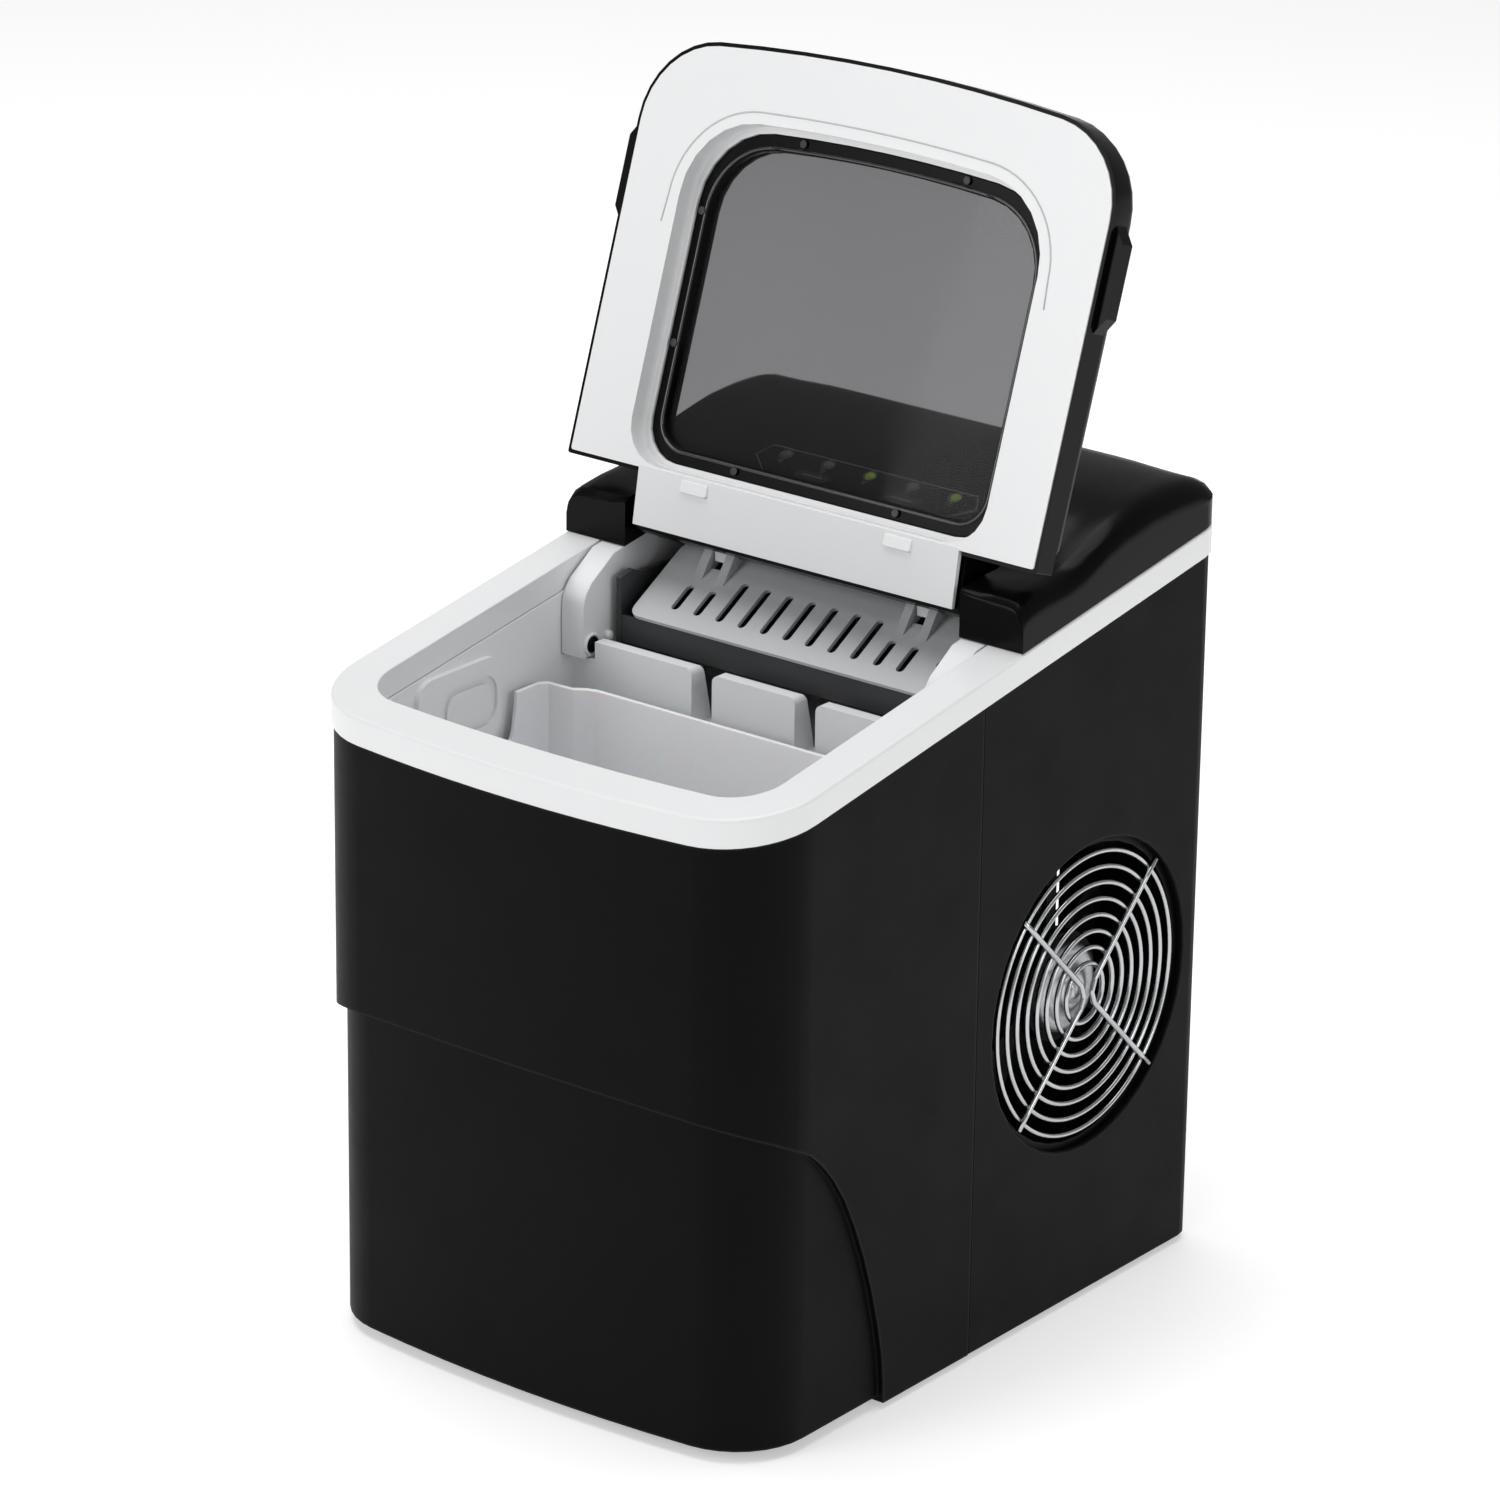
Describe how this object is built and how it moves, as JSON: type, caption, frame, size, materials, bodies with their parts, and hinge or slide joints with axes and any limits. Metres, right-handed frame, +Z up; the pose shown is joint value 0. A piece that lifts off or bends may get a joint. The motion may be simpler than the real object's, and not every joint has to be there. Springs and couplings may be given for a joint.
{
  "type": "countertop ice maker",
  "caption": "Countertop ice maker, a tall rounded box with a windowed tip-up lid over a lift-out ice basket, a tilting water tray and a fan grille on the side.",
  "frame": {"origin": "middle of the footprint, on the surface the feet stand on", "axes": "+Z up, front of the machine towards -Y, fan grille on the +X side, lid hinge along X"},
  "size_m": [0.258, 0.3285, 0.5253],
  "materials": {
    "body_black": "satin",
    "cover_black": "gloss",
    "rim_white": "satin gloss",
    "liner_white": "satin",
    "basket_white": "translucent satin",
    "shovel_grey": "satin",
    "tray_grey": "satin",
    "window_smoked": "smoked clear",
    "guard_chrome": "bright plated wire",
    "nickel": "satin nickel plate",
    "copper": "bare copper",
    "aluminium": "mill finish",
    "steel": "zinc plated",
    "compressor_black": "baked enamel",
    "rubber_black": "matt",
    "board_green": "solder mask",
    "lamp_off": "frosted lens, dark",
    "lamp_lit": "frosted lens, lit green",
    "button_grey": "satin"
  },
  "bodies": {
    "housing": {"base_tray": "body_black", "foot_1": "rubber_black", "foot_2": "rubber_black", "foot_3": "rubber_black", "foot_4": "rubber_black", "front_shell": "body_black", "rear_shell": "body_black", "top_frame": "rim_white", "reservoir_liner": "liner_white", "rear_cover": "cover_black", "cord_gland": "rubber_black", "drain_spout": "liner_white", "control_panel": "cover_black", "control_board": "board_green", "lamp_1": "lamp_off", "lamp_2": "lamp_off", "lamp_3": "lamp_lit", "lamp_4": "lamp_off", "lamp_5": "lamp_lit", "hinge_pin_left": "steel", "hinge_pin_right": "steel", "bracket_left": "liner_white", "bracket_right": "liner_white", "ice_sensor_left": "cover_black", "ice_sensor_right": "cover_black", "pivot_rod": "steel", "evaporator": "nickel", "evaporator_bracket": "liner_white", "tray_motor": "tray_grey", "fan_guard": "guard_chrome", "fan_shroud": "body_black", "fan_motor": "aluminium", "condenser": "aluminium", "compressor": "compressor_black", "filter_drier": "copper", "suction_pipe": "copper", "discharge_pipe": "copper", "solenoid_valve": "tray_grey", "water_pump": "body_black", "control_box": "tray_grey", "divider": "liner_white"},
    "lid": {"frame_screw_1": "steel", "frame_screw_2": "steel", "frame_screw_3": "steel", "frame_screw_4": "steel", "frame_screw_5": "steel", "frame_screw_6": "steel", "frame_screw_7": "steel", "frame_screw_8": "steel", "lid_skin": "cover_black", "lid_inner": "rim_white", "lid_window_frame": "cover_black", "lid_window": "window_smoked"},
    "basket": {"ice_basket": "basket_white"},
    "tray": {"water_tray": "tray_grey"},
    "shovel": {"ice_shovel": "shovel_grey"},
    "fan": {"fan_blade": "body_black"},
    "power_key": {"button_power": "button_grey"},
    "select_key": {"button_select": "button_grey"},
    "drain_plug": {"drain_cap": "body_black"}
  },
  "joints": [
    {"name": "lid_hinge", "type": "hinge", "parent": "housing", "child": "lid", "pos_m": [0, 0.0304, 0.3279], "axis": [-1, 0, 0], "range_deg": [-117, 0]},
    {"name": "basket_lift", "type": "slide", "parent": "housing", "child": "basket", "axis": [0, 0, 1], "range_m": [0, 0.15]},
    {"name": "tray_tilt", "type": "hinge", "parent": "housing", "child": "tray", "pos_m": [0, 0.078, 0.303], "axis": [1, 0, 0], "range_deg": [0, 30]},
    {"name": "shovel_swing", "type": "hinge", "parent": "housing", "child": "shovel", "pos_m": [0, 0.0445, 0.311], "axis": [-1, 0, 0], "range_deg": [0, 24.5]},
    {"name": "fan_spin", "type": "hinge", "parent": "housing", "child": "fan", "pos_m": [0.08, 0.075, 0.1423], "axis": [1, 0, 0], "continuous": true},
    {"name": "power_press", "type": "slide", "parent": "housing", "child": "power_key", "axis": [0, 0.3827, -0.9239], "range_m": [0, 0.001], "stiffness_N_per_m": 400, "springref_m": -0.001},
    {"name": "select_press", "type": "slide", "parent": "housing", "child": "select_key", "axis": [0, 0.3827, -0.9239], "range_m": [0, 0.001], "stiffness_N_per_m": 400, "springref_m": -0.001},
    {"name": "drain_pull", "type": "slide", "parent": "housing", "child": "drain_plug", "axis": [-1, 0, 0], "range_m": [0, 0.03]}
  ],
  "couplings": [
    {"joint": "shovel_swing", "follows": "tray_tilt", "ratio": 0.8}
  ]
}
